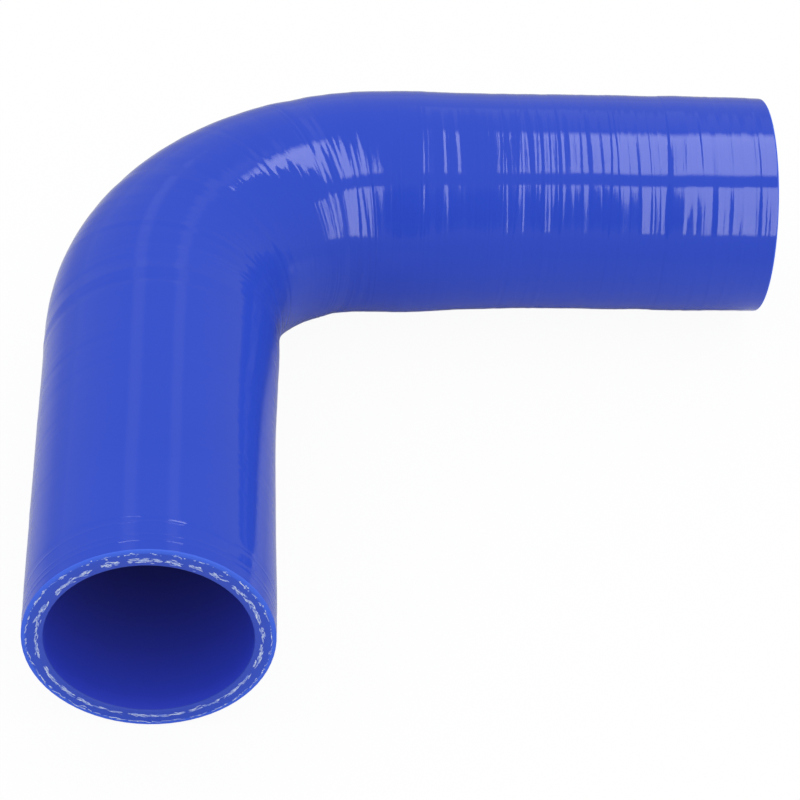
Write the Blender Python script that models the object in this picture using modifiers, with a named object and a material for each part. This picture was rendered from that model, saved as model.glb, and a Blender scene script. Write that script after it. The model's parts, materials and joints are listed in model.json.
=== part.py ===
"""Silicone elbow hose: one wrapped and cured piece, round bore, both ends cut square.

The hose lies on its side on z = 0 with its bend in a level plane. The right leg runs along +X and the front
leg towards -Y. The origin is under the middle of its bounding box. Lengths are in metres and angles in degrees.
"""

import math

import bmesh
import bpy
from mathutils import Vector

# Driving dimensions of the hose
BORE = 0.045  # inside diameter, the size the hose is sold by
WALL = 0.0047  # silicone and plies together
RIGHT_LEG = 0.151  # from the crossing of the two centrelines to the cut end
FRONT_LEG = 0.152
BEND_RADIUS = 0.057  # of the bend's centreline
LEG_ANGLE = 91.3  # between the legs; a square elbow springs a little open off its mandrel

# The plies gather on the inside of the bend, where each leg starts, and make the wall thicker there
RIGHT_GATHER = 0.0026
FRONT_GATHER = 0.0013
GATHER_REACH = 0.0225  # along the hose, until the extra has dropped to about a third

CUT_EDGE = 0.0003  # the knife leaves the edges of the cut ends very slightly broken

# Fineness of the mesh
SIDES = 60
BEND_STEPS = 24
GATHER_STEPS = 9

HOSE_BLUE = (0.030, 0.061, 0.597, 1.0)

# What follows from the sizes above; places are in the plane of the bend, with the centrelines crossing at 0, 0
TURN = math.radians(180.0 - LEG_ANGLE)
RIGHT_WAY = Vector((1.0, 0.0, 0.0))
FRONT_WAY = Vector((-math.cos(TURN), -math.sin(TURN), 0.0))
BEND_SETBACK = BEND_RADIUS * math.tan(TURN / 2)
BEND_CENTRE = Vector((BEND_SETBACK, -BEND_RADIUS, 0.0))
HALF_BEND = BEND_RADIUS * TURN / 2
THICKEST_WALL = WALL + RIGHT_GATHER + FRONT_GATHER


def clear_scene():
    for item in list(bpy.data.objects):
        bpy.data.objects.remove(item, do_unlink=True)


def leg_points(way, length):
    """Points of one leg's centreline from its cut end to the bend, closer where the gathered wall changes."""
    start = BEND_SETBACK + 2 * GATHER_REACH
    spacing = (start - BEND_SETBACK) / GATHER_STEPS
    return [way * length] + [way * (start - spacing * i) for i in range(GATHER_STEPS)]


def bend_points():
    """Points of the bend's centreline, from the front leg round to the right leg."""
    points = []
    for i in range(BEND_STEPS + 1):
        turned = TURN * (1 - i / BEND_STEPS)
        outward = Vector((-math.sin(turned), math.cos(turned), 0.0))
        points.append(BEND_CENTRE + outward * BEND_RADIUS)
    return points


def sweep_bore(collection):
    """The bore's wall as an open surface, a round bevel swept along the centreline and made a mesh."""
    route = leg_points(FRONT_WAY, FRONT_LEG) + bend_points() + leg_points(RIGHT_WAY, RIGHT_LEG)[::-1]
    curve = bpy.data.curves.new("centreline", "CURVE")
    curve.dimensions = "3D"
    curve.twist_mode = "Z_UP"
    curve.bevel_depth = BORE / 2
    curve.bevel_resolution = (SIDES - 4) // 2
    curve.use_fill_caps = False
    spline = curve.splines.new("POLY")
    spline.points.add(len(route) - 1)
    for point, place in zip(spline.points, route):
        point.co = (*place, 1.0)
    guide = bpy.data.objects.new("centreline", curve)
    collection.objects.link(guide)
    bpy.context.view_layer.update()
    swept = guide.evaluated_get(bpy.context.evaluated_depsgraph_get())
    mesh = bpy.data.meshes.new_from_object(swept)
    bpy.data.objects.remove(guide, do_unlink=True)
    return mesh


def station(place):
    """How far a point of the bore is past the bend's middle, towards the right leg, and how far to the inside."""
    if place.x > BEND_SETBACK:
        return HALF_BEND + place.x - BEND_SETBACK, -place.y
    along_front = place.dot(FRONT_WAY)
    if along_front > BEND_SETBACK:
        inward = Vector((-FRONT_WAY.y, FRONT_WAY.x, 0.0))
        return BEND_SETBACK - along_front - HALF_BEND, place.dot(inward)
    spoke = Vector((place.x, place.y, 0.0)) - BEND_CENTRE
    turned = math.atan2(-spoke.x, spoke.y)
    return (TURN / 2 - turned) * BEND_RADIUS, BEND_RADIUS - spoke.length


def wall_at(place):
    """Thickness of the wall outside a point of the bore."""
    past_middle, inward = station(place)
    facing_in = max(0.0, inward / (BORE / 2)) ** 2
    right = RIGHT_GATHER * math.exp(-(((past_middle - HALF_BEND) / GATHER_REACH) ** 2))
    front = FRONT_GATHER * math.exp(-(((past_middle + HALF_BEND) / GATHER_REACH) ** 2))
    return WALL + facing_in * (right + front)


def silicone():
    material = bpy.data.materials.new("blue_silicone")
    material.use_nodes = True
    shader = material.node_tree.nodes["Principled BSDF"]
    shader.inputs["Base Color"].default_value = HOSE_BLUE
    shader.inputs["Roughness"].default_value = 0.25
    shader.inputs["Metallic"].default_value = 0.0
    return material


def hose(collection):
    """The whole hose: the bore's surface, thickened outwards by the wall, with its cut edges broken."""
    mesh = sweep_bore(collection)
    mesh.name = "elbow_hose"
    shell = bmesh.new()
    shell.from_mesh(mesh)
    bmesh.ops.recalc_face_normals(shell, faces=shell.faces)
    shell.to_mesh(mesh)
    shell.free()

    piece = bpy.data.objects.new("elbow_hose", mesh)
    collection.objects.link(piece)
    wall = piece.vertex_groups.new(name="wall")
    for vertex in mesh.vertices:
        wall.add([vertex.index], wall_at(vertex.co) / THICKEST_WALL, "REPLACE")

    # under the middle of the bounding box, with the underside of the legs on z = 0
    outside = BORE / 2 + WALL
    left = min(BEND_CENTRE.x - BEND_RADIUS, FRONT_LEG * FRONT_WAY.x) - outside
    back = outside
    front = FRONT_LEG * FRONT_WAY.y - outside * abs(FRONT_WAY.x)
    piece.location = (-(left + RIGHT_LEG) / 2, -(front + back) / 2, outside)

    solidify = piece.modifiers.new("wall", "SOLIDIFY")
    solidify.thickness = THICKEST_WALL
    solidify.offset = 1.0
    solidify.vertex_group = wall.name
    solidify.use_rim = True
    edge = piece.modifiers.new("cut edges", "BEVEL")
    edge.width = CUT_EDGE
    edge.segments = 1
    edge.limit_method = "ANGLE"
    edge.angle_limit = math.radians(60)

    mesh.materials.clear()
    mesh.materials.append(silicone())
    mesh.shade_smooth()
    mesh.set_sharp_from_angle(angle=math.radians(40))
    return piece


clear_scene()
parts = bpy.data.collections.new("silicone elbow hose")
bpy.context.scene.collection.children.link(parts)
hose(parts)
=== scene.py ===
"""Silicone elbow hose, dressed for its picture: a glossy blue wrapped hose lying on a white table."""

import json
import math

import bpy
import numpy as np
from mathutils import Matrix, Vector


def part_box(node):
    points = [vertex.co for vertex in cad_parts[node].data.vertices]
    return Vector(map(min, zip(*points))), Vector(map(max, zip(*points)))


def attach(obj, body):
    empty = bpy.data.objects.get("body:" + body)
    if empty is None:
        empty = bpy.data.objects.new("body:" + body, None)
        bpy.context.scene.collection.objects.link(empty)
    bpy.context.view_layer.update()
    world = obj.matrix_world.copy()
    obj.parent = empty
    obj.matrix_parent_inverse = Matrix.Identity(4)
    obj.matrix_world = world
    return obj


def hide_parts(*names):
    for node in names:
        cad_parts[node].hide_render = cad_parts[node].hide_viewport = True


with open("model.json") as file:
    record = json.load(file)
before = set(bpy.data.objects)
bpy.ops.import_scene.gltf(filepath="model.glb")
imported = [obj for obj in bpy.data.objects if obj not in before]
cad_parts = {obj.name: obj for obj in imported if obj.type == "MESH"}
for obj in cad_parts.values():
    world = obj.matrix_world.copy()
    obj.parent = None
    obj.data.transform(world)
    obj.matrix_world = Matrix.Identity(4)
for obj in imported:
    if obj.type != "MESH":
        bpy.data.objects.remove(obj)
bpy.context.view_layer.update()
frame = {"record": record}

# The hose: knitted cloth and blue silicone sheet wound by hand over a bent steel mandrel, bound tightly
# with tape, cured and pulled off, then cut square at both ends. The tape leaves fine rings all along the
# glossy skin, the plies bunch up on the inside of the bend, and the bore keeps the mandrel's satin face.
BORE = 0.045
WALL = 0.0047
OUTSIDE = BORE / 2 + WALL
BEND_RADIUS = 0.057
RIGHT_GATHER = 0.0014  # extra wall on the inside of the bend, where each leg starts
FRONT_GATHER = 0.0013
GATHER_REACH = 0.0225
GATHER_BELOW = math.radians(28)  # how far under the inside of the bend the right leg's extra wall sits
CUT_EDGE = 0.00035  # round left on the edges of the cut ends

# where the legs run, from the hose's two mounts and the height of its axis
low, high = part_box("elbow_hose")
mounts = {mount["name"]: mount for mount in frame["record"]["mounts"]}
RIGHT_WAY = Vector(mounts["right_end"]["axis"])
FRONT_WAY = Vector(mounts["front_end"]["axis"])
RIGHT_END = Vector((*mounts["right_end"]["pos_m"][:2], (low[2] + high[2]) / 2))
FRONT_END = Vector((*mounts["front_end"]["pos_m"][:2], (low[2] + high[2]) / 2))
TURN = math.pi - RIGHT_WAY.angle(FRONT_WAY)
SETBACK = BEND_RADIUS * math.tan(TURN / 2)
RIGHT_LEG = (RIGHT_END - FRONT_END).cross(FRONT_WAY).z / RIGHT_WAY.cross(FRONT_WAY).z
CROSSING = RIGHT_END - RIGHT_WAY * RIGHT_LEG
BEND_CENTRE = CROSSING + RIGHT_WAY * SETBACK + Vector((RIGHT_WAY.y, -RIGHT_WAY.x, 0)) * BEND_RADIUS
FRONT_RUN = (FRONT_END - CROSSING).length - SETBACK
BEND_RUN = BEND_RADIUS * TURN
LENGTH = FRONT_RUN + BEND_RUN + RIGHT_LEG - SETBACK


def centreline(along):
    """Places at distances from the front end, and the way from each to the outside of the bend."""
    place = np.array(FRONT_END) - np.array(FRONT_WAY) * along[:, None]
    out = np.tile(np.array([FRONT_WAY.y, -FRONT_WAY.x, 0.0]), (len(along), 1))
    turned = TURN - (along - FRONT_RUN) / BEND_RADIUS
    spoke = np.stack([-np.sin(turned), np.cos(turned), 0 * turned], axis=1)
    bend = (along > FRONT_RUN) & (along < FRONT_RUN + BEND_RUN)
    place[bend] = (np.array(BEND_CENTRE) + spoke * BEND_RADIUS)[bend]
    out[bend] = spoke[bend]
    right = along >= FRONT_RUN + BEND_RUN
    place[right] = (np.array(RIGHT_END) + np.array(RIGHT_WAY) * (along - LENGTH)[:, None])[right]
    out[right] = (-RIGHT_WAY.y, RIGHT_WAY.x, 0.0)
    return place, out


def on_section(along, around, radius):
    """Points at an angle round the centreline, counted upwards from the outside of the bend."""
    place, out = centreline(along)
    up = np.array([0.0, 0.0, 1.0])
    return place + (out * np.cos(around)[:, None] + up * np.sin(around)[:, None]) * radius[:, None]


def gathered(along, around):
    """Extra wall where the plies bunch up: inside the bend, and for the right leg a little under it."""
    inside = np.maximum(0.0, -np.cos(around)) ** 2
    below = np.maximum(0.0, -np.cos(around - GATHER_BELOW)) ** 2
    front = FRONT_GATHER * np.exp(-(((along - FRONT_RUN) / GATHER_REACH) ** 2))
    right = RIGHT_GATHER * np.exp(-(((along - FRONT_RUN - BEND_RUN) / GATHER_REACH) ** 2))
    return inside * front + below * right


# The tape presses the skin into narrow flat bands that meet in creases. Each layer of bands has the usual
# width of a band, how far its creases stand out or in, how far they wander on their way round the hose,
# and the seed of its random draws.
TAPE_LAYERS = (
    (0.0008, 0.0000092, 0.0004, 541),
    (0.0015, 0.0000185, 0.0006, 591),
    (0.0036, 0.0000200, 0.0009, 674),
    (0.0090, 0.0000780, 0.0012, 486),
    (0.0300, 0.0000725, 0.0030, 35),
)
NARROWEST_BAND = 0.25  # of the usual width
BANDS_BEFORE_END = 3  # the winding starts this many bands before the front end
SWAY_LENGTH = 0.09  # along the hose, in which neighbouring creases sway to and fro once
TWICE_ROUND = 0.4  # share of that sway that goes twice round the hose
OWN_WANDER = 0.12  # of the usual width, for each crease by itself
SIDE_CHANGE = 0.6  # how much a crease's height changes from one side of the hose to the other
THRICE_CHANGE = 0.4  # and three times on its way round
# the bands are faint on the front leg and strongest in the bend, by distance from the front end
CALM_AT = (0.0, 0.050, 0.088, 0.103, 0.120)
CALM = (0.4, 0.5, 0.7, 1.2, 1.0)
END_DENTS = (0.0030, 0.0046, 0.0085)  # fine ridges where the tape was started, from the front end
END_DENT_HEIGHT = 0.00005
END_DENT_REACH = 0.00022


def tape_bands(along, around):
    """Height of the tape's bands and creases, for rows along the hose and columns round it."""
    height = np.zeros((len(along), len(around)))
    for width, stand, wander, seed in TAPE_LAYERS:
        rng = np.random.default_rng(seed)
        count = int(1.5 * LENGTH / width) + 4  # enough to pass the right end
        widths = width * (NARROWEST_BAND + rng.exponential(1 - NARROWEST_BAND, count))
        creases = np.cumsum(widths) - BANDS_BEFORE_END * width
        phases = rng.uniform(0, 2 * np.pi, (4, count))
        stands = rng.normal(0, stand, (3, count))
        sway = rng.uniform(0, 2 * np.pi, 2) + 2 * np.pi * creases[:, None] / SWAY_LENGTH
        for j, angle in enumerate(around):
            shared = wander * (np.sin(angle + sway[:, 0]) + TWICE_ROUND * np.sin(2 * angle + sway[:, 1]))
            own = OWN_WANDER * width * (np.sin(angle + phases[0]) + np.sin(2 * angle + phases[1]))
            heights = stands[0] + SIDE_CHANGE * stands[1] * np.sin(angle + phases[2])
            heights += THRICE_CHANGE * stands[2] * np.sin(3 * angle + phases[3])
            height[:, j] += np.interp(along, np.sort(creases + shared + own), heights)
    height *= np.interp(along, CALM_AT, CALM)[:, None]
    for dent in END_DENTS:
        height += END_DENT_HEIGHT * np.exp(-(((along - dent) / END_DENT_REACH) ** 2))[:, None]
    return height


SKIN_RUNS = (  # lengths of skin from the front end on, each with its number of rings of points
    (0.012, 80),
    (FRONT_RUN + BEND_RUN * 0.6 - 0.012, 370),
    (BEND_RUN * 0.4, 180),
    (RIGHT_LEG - SETBACK, 600),
)
BORE_RINGS = 70
FACE_RINGS = 12
AROUND = 72
EDGE_TURNS = np.radians([0, 30, 60, 90])  # rings on the round of a cut edge
KNIFE_MARKS = 0.00002  # how far the knife's marks stand out of or into the cut faces
KNIFE_SEED = 3
SKIN, CUT, LINING = 0, 1, 2  # the hose's material slots


def hose_mesh():
    """Skin, right cut face, bore and front cut face, one ring of points after another round the wall."""
    around = np.linspace(0, 2 * np.pi, AROUND, endpoint=False)
    rng = np.random.default_rng(KNIFE_SEED)
    knife = KNIFE_MARKS * rng.standard_normal((2, FACE_RINGS + 1, AROUND))
    inner = BORE / 2
    rings, notes, slots = [], [], []

    def add(along, radius, slot, depth):
        """One ring; its depth is its share of the way through the wall from the outside."""
        along = along + np.zeros(AROUND)
        radius = radius + np.zeros(AROUND)
        depth = depth + np.zeros(AROUND)
        ring = on_section(along, around, radius)
        ring[:, 2] = np.maximum(ring[:, 2], low[2])  # flat where it rests
        rings.append(ring)
        notes.append(np.stack([np.cos(around), np.sin(around), along * 100, depth], axis=1))
        slots.append(slot)

    steps = np.concatenate([np.full(count, run / count) for run, count in SKIN_RUNS])
    skin = np.concatenate([[0.0], np.cumsum(steps)])
    skin = CUT_EDGE + skin * (LENGTH - 2 * CUT_EDGE) / LENGTH
    relief = tape_bands(skin, around)
    for along, row in zip(skin, relief):
        add(along, OUTSIDE + gathered(along, around) + row, SKIN, 0.0)

    for angle in EDGE_TURNS[1:]:
        edge = OUTSIDE - CUT_EDGE * (1 - math.cos(angle))
        add(LENGTH - CUT_EDGE * (1 - math.sin(angle)), edge + relief[-1], CUT, 0.0)
    for i in range(1, FACE_RINGS):
        share = i / FACE_RINGS
        add(LENGTH + knife[0, i], OUTSIDE - CUT_EDGE - (WALL - 2 * CUT_EDGE) * share, CUT, share)
    for angle in EDGE_TURNS[::-1]:
        edge = inner + CUT_EDGE * (1 - math.cos(angle))
        add(LENGTH - CUT_EDGE * (1 - math.sin(angle)), edge, CUT, 1.0)

    for i in range(1, BORE_RINGS):
        add(LENGTH - CUT_EDGE - (LENGTH - 2 * CUT_EDGE) * i / BORE_RINGS, inner, LINING, 1.0)

    for angle in EDGE_TURNS:
        edge = inner + CUT_EDGE * (1 - math.cos(angle))
        add(CUT_EDGE * (1 - math.sin(angle)), edge, CUT, 1.0)
    for i in range(1, FACE_RINGS):
        share = i / FACE_RINGS
        add(-knife[1, i], inner + CUT_EDGE + (WALL - 2 * CUT_EDGE) * share, CUT, 1 - share)
    for angle in EDGE_TURNS[:0:-1]:
        edge = OUTSIDE - CUT_EDGE * (1 - math.cos(angle))
        add(CUT_EDGE * (1 - math.sin(angle)), edge + relief[0], CUT, 0.0)

    count = len(rings)
    faces, finishes = [], []
    for i in range(count):
        after = (i + 1) % count
        for j in range(AROUND):
            k = (j + 1) % AROUND
            faces.append((i * AROUND + j, after * AROUND + j, after * AROUND + k, i * AROUND + k))
            finishes.append(max(slots[i], slots[after]))
    mesh = bpy.data.meshes.new("hose")
    mesh.from_pydata(np.concatenate(rings).tolist(), [], faces)
    mesh.polygons.foreach_set("material_index", finishes)
    note = np.concatenate(notes)
    place = mesh.attributes.new("hose_place", "FLOAT_VECTOR", "POINT")
    place.data.foreach_set("vector", note[:, :3].ravel())
    depth = mesh.attributes.new("wall_depth", "FLOAT", "POINT")
    depth.data.foreach_set("value", note[:, 3])
    mesh.shade_smooth()
    mesh.update()
    return mesh


hose = bpy.data.objects.new("hose", hose_mesh())
bpy.context.scene.collection.objects.link(hose)

SILICONE_BLUE = (0.031, 0.080, 0.625, 1.0)
SILICONE_IOR = 1.41


def new_material(name, base_color, roughness):
    """A material with its nodes, links and shader, as shiny as silicone for its roughness."""
    material = bpy.data.materials.new(name)
    material.use_nodes = True
    shader = material.node_tree.nodes["Principled BSDF"]
    shader.inputs["Base Color"].default_value = base_color
    shader.inputs["Roughness"].default_value = roughness
    shader.inputs["IOR"].default_value = SILICONE_IOR
    return material, material.node_tree.nodes, material.node_tree.links, shader


def feed(links, socket, value):
    """Give a socket its value, or the link into it where the value is another node's output."""
    if isinstance(value, bpy.types.NodeSocket):
        links.new(value, socket)
    else:
        socket.default_value = value


def stored(nodes, name):
    """The node that reads what the mesh holds under a name."""
    attribute = nodes.new("ShaderNodeAttribute")
    attribute.attribute_name = name
    return attribute


def calculate(nodes, links, operation, *values):
    """The result of one sum."""
    sum_node = nodes.new("ShaderNodeMath")
    sum_node.operation = operation
    for socket, value in zip(sum_node.inputs, values):
        feed(links, socket, value)
    return sum_node.outputs[0]


def map_range(nodes, links, value, start, end, to_start=0.0, to_end=1.0, curve="LINEAR"):
    """A value carried over from one range to another, and held at its ends."""
    ranged = nodes.new("ShaderNodeMapRange")
    ranged.interpolation_type = curve
    feed(links, ranged.inputs["Value"], value)
    feed(links, ranged.inputs["From Min"], start)
    feed(links, ranged.inputs["From Max"], end)
    feed(links, ranged.inputs["To Min"], to_start)
    feed(links, ranged.inputs["To Max"], to_end)
    return ranged.outputs[0]


def blend(nodes, links, share, first, second):
    """A colour between two, by a share."""
    mix = nodes.new("ShaderNodeMix")
    mix.data_type = "RGBA"
    mix.inputs[6].default_value = first
    mix.inputs[7].default_value = second
    links.new(share, mix.inputs[0])
    return mix.outputs[2]


def grain_group():
    """Noise round the hose, by its repeats in the hose's width, in its height and in each centimetre."""
    group = bpy.data.node_groups.new("grain", "ShaderNodeTree")
    sockets = group.interface
    sockets.new_socket("Stretch", in_out="INPUT", socket_type="NodeSocketVector")
    sockets.new_socket("Detail", in_out="INPUT", socket_type="NodeSocketFloat")
    sockets.new_socket("Grain", in_out="OUTPUT", socket_type="NodeSocketFloat")
    nodes, links = group.nodes, group.links
    given = nodes.new("NodeGroupInput")
    result = nodes.new("NodeGroupOutput")
    scaled = nodes.new("ShaderNodeVectorMath")
    scaled.operation = "MULTIPLY"
    links.new(stored(nodes, "hose_place").outputs["Vector"], scaled.inputs[0])
    links.new(given.outputs["Stretch"], scaled.inputs[1])
    noise = nodes.new("ShaderNodeTexNoise")
    noise.inputs["Scale"].default_value = 1.0
    noise.inputs["Roughness"].default_value = 0.6
    links.new(scaled.outputs[0], noise.inputs["Vector"])
    links.new(given.outputs["Detail"], noise.inputs["Detail"])
    links.new(noise.outputs["Fac"], result.inputs["Grain"])
    return group


GRAIN = grain_group()


def add_grain(nodes, stretch, detail):
    """The grain node group in a material, with its two inputs set."""
    grain = nodes.new("ShaderNodeGroup")
    grain.node_tree = GRAIN
    grain.inputs["Stretch"].default_value = stretch
    grain.inputs["Detail"].default_value = detail
    return grain.outputs["Grain"]


def add_relief(nodes, links, shader, height, stretch, detail):
    """Fine relief of a height in metres, from grain."""
    bump = nodes.new("ShaderNodeBump")
    bump.inputs["Distance"].default_value = height
    links.new(add_grain(nodes, stretch, detail), bump.inputs["Height"])
    links.new(bump.outputs["Normal"], shader.inputs["Normal"])


# skin: a little cloudy in colour and gloss, with fine scratches round the hose
DEEP_CLOUD = (0.029, 0.076, 0.60, 1.0)
PALE_CLOUD = (0.033, 0.084, 0.65, 1.0)
SKIN_ROUGHNESS = (0.065, 0.085)
skin, nodes, links, shader = new_material("glossy blue skin", SILICONE_BLUE, 0.075)
cloud = add_grain(nodes, (0.7, 0.7, 0.35), 3.0)
links.new(blend(nodes, links, cloud, DEEP_CLOUD, PALE_CLOUD), shader.inputs["Base Color"])
links.new(map_range(nodes, links, cloud, 0.3, 0.7, *SKIN_ROUGHNESS), shader.inputs["Roughness"])
add_relief(nodes, links, shader, 0.000010, (2.2, 2.2, 14.0), 2.0)

# cut faces: lightest at the outside, a painted highlight along the rounded outer edge; the plies' cement
# the darkest
CUT_BLUES = (  # by share of the wall from the outside
    # painted highlight: the lightest blue covers the rounded outer edge and the outermost ring of the face
    (0.09, (0.056, 0.148, 0.84, 1.0)),
    (0.22, (0.040, 0.096, 0.625, 1.0)),
    (1.0, (0.045, 0.088, 0.56, 1.0)),
)
cut, nodes, links, shader = new_material("cut silicone", SILICONE_BLUE, 0.6)
shader.inputs["Specular IOR Level"].default_value = 0.25
layers = nodes.new("ShaderNodeValToRGB")
layers.color_ramp.elements.new(0.5)
for element, (depth, color) in zip(layers.color_ramp.elements, CUT_BLUES):
    element.position = depth
    element.color = color
links.new(stored(nodes, "wall_depth").outputs["Fac"], layers.inputs["Fac"])
links.new(layers.outputs["Color"], shader.inputs["Base Color"])
add_relief(nodes, links, shader, 0.00008, (30.0, 30.0, 5.0), 2.0)

# bore: painted shade and a painted grey sheen, darker and greyer towards the middle, deep in the hose
SHADED_DEEP_BORE_BLUE = (0.072, 0.082, 0.43, 1.0)
BORE_END_BLUE = (0.036, 0.070, 0.71, 1.0)
UNSHADED_END_REACH = 4.5  # centimetres from each end
HALFWAY = LENGTH * 50  # centimetres from each end
lining, nodes, links, shader = new_material("satin bore", SHADED_DEEP_BORE_BLUE, 0.45)
split = nodes.new("ShaderNodeSeparateXYZ")
links.new(stored(nodes, "hose_place").outputs["Vector"], split.inputs[0])
past_middle = calculate(nodes, links, "SUBTRACT", split.outputs["Z"], HALFWAY)
from_middle = calculate(nodes, links, "ABSOLUTE", past_middle)
# the painted shade and sheen give way to the bore's own blue near each end
near_end = map_range(nodes, links, from_middle, HALFWAY - UNSHADED_END_REACH, HALFWAY)
links.new(blend(nodes, links, near_end, SHADED_DEEP_BORE_BLUE, BORE_END_BLUE), shader.inputs["Base Color"])
add_relief(nodes, links, shader, 0.00003, (9.0, 9.0, 3.0), 3.0)

for material in (skin, cut, lining):
    hose.data.materials.append(material)
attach(hose, "root")
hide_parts("elbow_hose")

# The yarn ends: two plies of pale polyester knit, bonded inside the wall, whose cut fibres show in each
# end as two broken rings. The inner ply's ring is thick and close, in fuzzy clumps at the top and long
# strands at the bottom; the outer ply's is thin and sparse. Each fibre is a thin bead, a little proud.
INNER_PLY = 0.65  # share of the wall from the outside
OUTER_PLY = 0.23
INNER_CLUMPS = 31
INNER_CLUMP_REACH = (0.0012, 0.0023)  # to both sides of its middle
LOW_CLUMP_LONGER = 0.0006
INNER_DRIFT = 0.00010  # of a whole clump, through the wall
OUTER_CLUMPS = 31
OUTER_CLUMP_REACH = 0.0005
OUTER_SPECKS = 105
OUTER_DASHES = 88

# how far fibres lie from their ply through the wall, at the bottom and as much more at the top
INNER_SPREAD, INNER_TOP_SPREAD = 0.00012, 0.00026
CLUMP_SPREAD, CLUMP_TOP_SPREAD = 0.00008, 0.00014
SPECK_SPREAD, SPECK_TOP_SPREAD = 0.00005, 0.00013
DASH_SPREAD = 0.00006

INNER_LENGTHS, INNER_WIDTHS = (0.0006, 0.0017), (0.00018, 0.00042)
CLUMP_LENGTHS, CLUMP_WIDTHS = (0.0004, 0.0009), (0.00020, 0.00036)
SPECK_LENGTHS, SPECK_WIDTHS = (0.0003, 0.0008), (0.00020, 0.00038)
DASH_LENGTHS, DASH_WIDTHS = (0.0012, 0.0026), (0.00018, 0.00032)

FIBRE_STEPS = 6
FIBRE_SLOPE = 0.15  # how far a fibre leaves its ply's line, as a share of its length
FIBRE_BOW = 0.06
FIBRE_CROWN = (0.00005, 0.00012)  # how far it stands proud
FIBRE_SUNK = 0.00003  # how far its edges lie in the face
UNEVEN = (0.65, 1.25)  # of its width, from step to step


def add_fibre(parts, rng, angle, radius, length, width):
    """One cut fibre lying along its ply, with pointed ends and its edges sunk in the face."""
    points, faces, pale = parts
    slope = rng.normal(0, FIBRE_SLOPE)
    bow = rng.normal(0, FIBRE_BOW) * length
    crown = rng.uniform(*FIBRE_CROWN)
    first = len(points)
    for i in range(FIBRE_STEPS + 1):
        t = 2 * i / FIBRE_STEPS - 1
        half = width / 2 * math.sqrt(1 - 0.96 * t * t) * rng.uniform(*UNEVEN)
        across = slope * t * length / 2 + bow * (1 - t * t)
        for side, lift in ((-1, -FIBRE_SUNK), (0, crown * (1 - 0.7 * t * t)), (1, -FIBRE_SUNK)):
            points.append((lift, angle + t * length / 2 / radius, radius + across + side * half))
    for i in range(FIBRE_STEPS):
        for k in (0, 1):
            corner = first + 3 * i + k
            faces.append((corner, corner + 3, corner + 4, corner + 1))
    pale += [rng.uniform(0, 1)] * (3 * FIBRE_STEPS + 3)


def spread_round(rng, count, wander):
    """Angles spread round the wall, each a little out of its place, and how near the top each is."""
    for i in range(count):
        angle = 2 * np.pi * (i + rng.uniform(-wander, wander)) / count
        yield angle, 0.5 + 0.5 * math.sin(angle)


def yarn_mesh(end_along, outward, seed):
    """All the cut fibres of one end."""
    rng = np.random.default_rng(seed)
    parts = ([], [], [])
    inner = OUTSIDE - WALL * INNER_PLY
    outer = OUTSIDE - WALL * OUTER_PLY
    for middle, top in spread_round(rng, INNER_CLUMPS, 0.3):
        reach = rng.uniform(*INNER_CLUMP_REACH) + LOW_CLUMP_LONGER * (1 - top)
        drift = rng.normal(0, INNER_DRIFT)
        for _ in range(int(rng.uniform(10, 15) + 15 * top)):
            share = rng.uniform(-1, 1)
            angle = middle + share * reach / inner
            across = drift + rng.normal(0, INNER_SPREAD + INNER_TOP_SPREAD * top * (1 - share * share))
            length = rng.uniform(*INNER_LENGTHS) * (1.6 - 0.7 * top)
            add_fibre(parts, rng, angle, inner + across, length, rng.uniform(*INNER_WIDTHS))
    for middle, top in spread_round(rng, OUTER_CLUMPS, 0.25):
        for _ in range(int(2 + 4 * top)):
            angle = middle + rng.normal(0, OUTER_CLUMP_REACH) / outer
            across = rng.normal(0, CLUMP_SPREAD + CLUMP_TOP_SPREAD * top)
            length = rng.uniform(*CLUMP_LENGTHS)
            add_fibre(parts, rng, angle, outer + across, length, rng.uniform(*CLUMP_WIDTHS))
    for middle, top in spread_round(rng, OUTER_SPECKS, 0.4):
        if rng.uniform() < 0.2 + 0.65 * top:
            across = rng.normal(0, SPECK_SPREAD + SPECK_TOP_SPREAD * top)
            length = rng.uniform(*SPECK_LENGTHS)
            add_fibre(parts, rng, middle, outer + across, length, rng.uniform(*SPECK_WIDTHS))
    for middle, top in spread_round(rng, OUTER_DASHES, 0.3):
        if rng.uniform() > 1.1 * top - 0.15:
            across = rng.normal(0, DASH_SPREAD)
            length = rng.uniform(*DASH_LENGTHS)
            add_fibre(parts, rng, middle, outer + across, length, rng.uniform(*DASH_WIDTHS))

    points, faces, pale = parts
    if outward > 0:
        faces = [face[::-1] for face in faces]
    lift, around, radius = np.array(points).T
    along = end_along + outward * lift
    note = np.stack([np.cos(around), np.sin(around), radius * 100], axis=1)
    mesh = bpy.data.meshes.new("yarn ends")
    mesh.from_pydata(on_section(along, around, radius).tolist(), [], faces)
    place = mesh.attributes.new("hose_place", "FLOAT_VECTOR", "POINT")
    place.data.foreach_set("vector", note.ravel())
    shade = mesh.attributes.new("paleness", "FLOAT", "POINT")
    shade.data.foreach_set("value", pale)
    mesh.shade_smooth()
    mesh.update()
    return mesh


# yarn: from soaked in blue to nearly white, fibre by fibre, and speckled
YARN_BLUE = (0.45, 0.56, 0.90, 1.0)
SOAKED_YARN = (0.14, 0.24, 0.80, 1.0)
CLEAN_YARN = (0.74, 0.83, 1.0, 1.0)
yarn, nodes, links, shader = new_material("cut yarn", YARN_BLUE, 0.6)
fine_grain = add_grain(nodes, (70.0, 70.0, 40.0), 2.0)
speckle = map_range(nodes, links, fine_grain, 0.35, 0.65, 0.55, 1.25)
speckled = calculate(nodes, links, "MULTIPLY", stored(nodes, "paleness").outputs["Fac"], speckle)
links.new(blend(nodes, links, speckled, SOAKED_YARN, CLEAN_YARN), shader.inputs["Base Color"])

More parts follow.
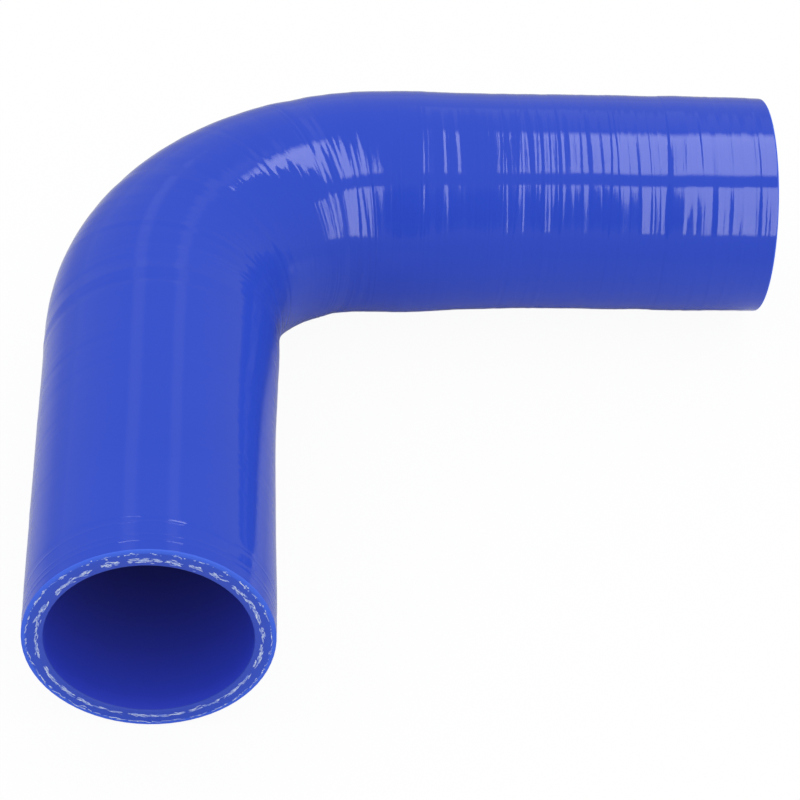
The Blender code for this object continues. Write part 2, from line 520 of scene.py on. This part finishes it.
for name, along, outward, seed in (("front_yarn_ends", 0.0, -1, 21), ("right_yarn_ends", LENGTH, 1, 22)):
    ends = bpy.data.objects.new(name, yarn_mesh(along, outward, seed))
    bpy.context.scene.collection.objects.link(ends)
    ends.data.materials.append(yarn)
    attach(ends, "root")

# The table: a wide sheet of card, white to the eye, that keeps a faint soft shadow under the hose. The
# gloss shows it grey, with a painted reflection that makes it lighter close beside the hose, further out
# on the outside of the bend.
TABLE_HALF = 6.0
FINE_HALF = 0.30  # the part with close grid lines, round the hose
FINE_LINES = 121
TABLE_GREY = 0.70  # what the sheet gives back as light
TABLE_IN_GLOSS = 0.36
# painted reflection: how light the card shows in the gloss close beside the hose
PAINTED_REFLECTION_BESIDE = 0.80
INNER_REACH = 0.105  # of the painted reflection on the card, from the hose's side, inside the bend
OUTER_REACH = 0.180
SIDES_MEET = 0.03  # to both sides of the hose's axis, over which one reach turns into the other
TABLE_GLOW = 0.95  # share of plain white in what the eye sees; the rest takes the shadow

fine_lines = np.linspace(-FINE_HALF, FINE_HALF, FINE_LINES)
lines = np.concatenate([[-TABLE_HALF], fine_lines, [TABLE_HALF]])
corners = np.arange(len(lines) ** 2).reshape(len(lines), len(lines))
faces = np.stack([corners[:-1, :-1], corners[:-1, 1:], corners[1:, 1:], corners[1:, :-1]], axis=-1)
x, y = (grid.ravel() for grid in np.meshgrid(lines, lines))
sheet = bpy.data.meshes.new("table")
sheet.from_pydata(np.stack([x, y, 0 * x], axis=1).tolist(), [], faces.reshape(-1, 4).tolist())

axis_above, outwards = centreline(np.linspace(0, LENGTH, 90))
offsets = np.stack([x, y], axis=1)[:, None] - axis_above[:, :2]
away = np.hypot(offsets[..., 0], offsets[..., 1])
nearest = away.argmin(axis=1)
outer_side = (offsets[np.arange(len(x)), nearest] * outwards[nearest, :2]).sum(axis=1)
reach = np.interp(outer_side, (-SIDES_MEET, SIDES_MEET), (INNER_REACH, OUTER_REACH))
gap = away.min(axis=1) - OUTSIDE
lighter = sheet.attributes.new("painted_reflection_beside_hose", "FLOAT", "POINT")
lighter.data.foreach_set("value", np.clip(1 - gap / reach, 0, 1) ** 2)
table = bpy.data.objects.new("table", sheet)
bpy.context.scene.collection.objects.link(table)


def mixed_value(nodes, links, share, first, second):
    """A number between two, by a share."""
    mix = nodes.new("ShaderNodeMix")
    feed(links, mix.inputs[0], share)
    feed(links, mix.inputs[2], first)
    feed(links, mix.inputs[3], second)
    return mix.outputs[0]


card = bpy.data.materials.new("white card")
card.use_nodes = True
nodes, links = card.node_tree.nodes, card.node_tree.links
shader = nodes["Principled BSDF"]
shader.inputs["Roughness"].default_value = 0.9
shader.inputs["Specular IOR Level"].default_value = 0.0
path = nodes.new("ShaderNodeLightPath").outputs
seen = calculate(nodes, links, "MAXIMUM", path["Is Camera Ray"], path["Is Transmission Ray"])
# painted reflection: the card shows lighter in the gloss close beside the hose
beside = stored(nodes, "painted_reflection_beside_hose").outputs["Fac"]
shown = map_range(nodes, links, beside, 0.0, 1.0, TABLE_IN_GLOSS, PAINTED_REFLECTION_BESIDE)
in_gloss = mixed_value(nodes, links, path["Is Glossy Ray"], TABLE_GREY, shown)
links.new(mixed_value(nodes, links, seen, in_gloss, 1.0), shader.inputs["Base Color"])
glow = nodes.new("ShaderNodeEmission")
mixed = nodes.new("ShaderNodeMixShader")
links.new(calculate(nodes, links, "MULTIPLY", seen, TABLE_GLOW), mixed.inputs["Fac"])
links.new(shader.outputs[0], mixed.inputs[1])
links.new(glow.outputs[0], mixed.inputs[2])
links.new(mixed.outputs[0], nodes["Material Output"].inputs["Surface"])
table.data.materials.append(card)

# The room: an even white dome as light and as background. The gloss shows it dimmer, and nearly black in a
# round patch in front, as if a dark cloth hung there to keep stray light off the hose.
ROOM_LIGHT = 0.98
LOW_ROOM_IN_GLOSS = 0.42
HIGH_ROOM_IN_GLOSS = 0.34
HIGH_ROOM = 0.7  # the room is dimmest from here up, as the height of a direction of length 1
PATCH_WAY = Vector((-0.27, -0.84, 0.47))  # towards the middle of the dark patch
PATCH_IN_GLOSS = 0.06
PATCH_EDGE = math.cos(math.radians(34))
PATCH_FULL = math.cos(math.radians(26))

world = bpy.data.worlds.new("studio")
bpy.context.scene.world = world
world.use_nodes = True
nodes, links = world.node_tree.nodes, world.node_tree.links
direction = nodes.new("ShaderNodeTexCoord").outputs["Generated"]
split = nodes.new("ShaderNodeSeparateXYZ")
links.new(direction, split.inputs[0])
room = map_range(
    nodes, links, split.outputs["Z"], 0.0, HIGH_ROOM, LOW_ROOM_IN_GLOSS, HIGH_ROOM_IN_GLOSS
)
towards = nodes.new("ShaderNodeVectorMath")
towards.operation = "DOT_PRODUCT"
towards.inputs[1].default_value = PATCH_WAY.normalized()
links.new(direction, towards.inputs[0])
patch = map_range(
    nodes, links, towards.outputs["Value"], PATCH_EDGE, PATCH_FULL, room, PATCH_IN_GLOSS, "SMOOTHSTEP"
)
path = nodes.new("ShaderNodeLightPath").outputs
in_gloss = mixed_value(nodes, links, path["Is Glossy Ray"], ROOM_LIGHT, patch)
seen = calculate(nodes, links, "MAXIMUM", path["Is Camera Ray"], path["Is Transmission Ray"])
strength = mixed_value(nodes, links, seen, in_gloss, 1.0)
links.new(strength, nodes["Background"].inputs["Strength"])
nodes["Background"].inputs["Color"].default_value = (1, 1, 1, 1)

# The lamps: soft boxes hung over both legs, tall panels in front, and two dim stretches of lit ceiling
# behind the boxes. Only the gloss shows them, and the tape's bands break up their reflections. Their
# places count from the crossing of the legs.
CEILING = 1.17


def soft_box(name, corner, across, down, radiance, fades):
    """A flat lamp from its corner and two edges, that fades out towards all four edges.

    The fades are the shares of its height at the first edge and at the far edge, and of its width at
    both sides.
    """
    corner, across, down = Vector(corner), Vector(across), Vector(down)
    data = bpy.data.lights.new(name, "AREA")
    data.shape = "RECTANGLE"
    data.size = across.length
    data.size_y = down.length
    data.energy = radiance * math.pi * across.length * down.length
    middle = CROSSING + corner + (across + down) / 2
    x, y = across.normalized(), -down.normalized()
    if x.cross(y).dot(CROSSING - middle) > 0:
        x = -x
    lamp = bpy.data.objects.new(name, data)
    bpy.context.scene.collection.objects.link(lamp)
    lamp.matrix_world = Matrix.Translation(middle) @ Matrix((x, y, x.cross(y))).transposed().to_4x4()
    lamp.visible_camera = False
    lamp.visible_diffuse = False

    data.use_nodes = True
    nodes, links = data.node_tree.nodes, data.node_tree.links
    split = nodes.new("ShaderNodeSeparateXYZ")
    links.new(nodes.new("ShaderNodeTexCoord").outputs["UV"], split.inputs[0])
    across_uv, down_uv = split.outputs["X"], split.outputs["Y"]
    first, far, side = fades
    level = map_range(nodes, links, down_uv, 1, 1 - first, curve="SMOOTHSTEP")
    for along, edge, inside in ((down_uv, 0, far), (across_uv, 0, side), (across_uv, 1, 1 - side)):
        fade = map_range(nodes, links, along, edge, inside, curve="SMOOTHSTEP")
        level = calculate(nodes, links, "MULTIPLY", level, fade)
    links.new(level, nodes["Emission"].inputs["Strength"])


# the right box is longer towards its right, so it is made of three straight strips
STRIP_START = 0.2762
STRIP_WIDTH = 0.1048
STRIP_FRONT = -0.505
STRIP_FADES = (0.18, 0.08, 0.001)
for number, back_edge in enumerate((0.655, 0.720, 0.785)):
    name = f"right overhead box {number + 1}"
    corner = (STRIP_START + STRIP_WIDTH * number, back_edge, CEILING)
    down = (0, STRIP_FRONT - back_edge, 0)
    soft_box(name, corner, (STRIP_WIDTH, 0, 0), down, radiance=4.9, fades=STRIP_FADES)

LEFT_CORNER, LEFT_ACROSS, LEFT_DOWN = (-0.23, 0.60, CEILING), (-0.38, 0.05, 0), (0, -1.16, 0)
LEFT_FADES = (0.24, 0.08, 0.02)
soft_box("left overhead box", LEFT_CORNER, LEFT_ACROSS, LEFT_DOWN, radiance=5.0, fades=LEFT_FADES)

GLOW_BACK = 2.80
GLOW_DOWN = (0, -2.20, 0)
GLOW_FADES = (0.3, 0.1, 0.35)
for side, start, width in (("left", -0.63, 0.42), ("right", 0.26, 0.36)):
    name = f"{side} ceiling glow"
    corner = (start, GLOW_BACK, CEILING)
    soft_box(name, corner, (width, 0, 0), GLOW_DOWN, radiance=0.27, fades=GLOW_FADES)

PANELS_CORNER = Vector((0.2933, -0.753, 1.127))
PANELS_ACROSS = Vector((1, 0.116, 0))
PANELS_DOWN = (0.077, -0.35, -1.0545)
PANEL_FADES = (0.05, 0.06, 0.02)
for number, (start, width) in enumerate(((0.0, 0.55), (0.752, 0.121), (0.888, 0.037))):
    name = f"front panel {number + 1}"
    corner = PANELS_CORNER + PANELS_ACROSS * start
    across = PANELS_ACROSS * width
    soft_box(name, corner, across, PANELS_DOWN, radiance=4.6, fades=PANEL_FADES)

# The camera: a long lens above the front end's side, a little tilted, that looks down at the bend. Its
# place counts from the crossing of the legs, to its own right, upwards and back.
LENS_MM = 130.38
SENSOR_MM = 36.0
HEADING, TILT, ROLL = (math.radians(angle) for angle in (-6.849, 42.124, 5.050))
TO_RIGHT, UPWARDS, BACKWARDS = 0.05915, -0.05126, 0.72891
NEAREST, FARTHEST = 0.01, 50
back = Vector((math.sin(HEADING) * math.cos(TILT), -math.cos(HEADING) * math.cos(TILT), math.sin(TILT)))
level_right = Vector((0, 0, 1)).cross(back).normalized()
level_up = back.cross(level_right)
right = level_right * math.cos(ROLL) + level_up * math.sin(ROLL)
up = level_up * math.cos(ROLL) - level_right * math.sin(ROLL)
data = bpy.data.cameras.new("camera")
data.lens = LENS_MM
data.sensor_width = SENSOR_MM
data.clip_start = NEAREST
data.clip_end = FARTHEST
camera = bpy.data.objects.new("camera", data)
bpy.context.scene.collection.objects.link(camera)
bpy.context.scene.camera = camera
stand = CROSSING + right * TO_RIGHT + up * UPWARDS + back * BACKWARDS
camera.matrix_world = Matrix.Translation(stand) @ Matrix((right, up, back)).transposed().to_4x4()
bpy.context.scene.view_settings.view_transform = "Standard"
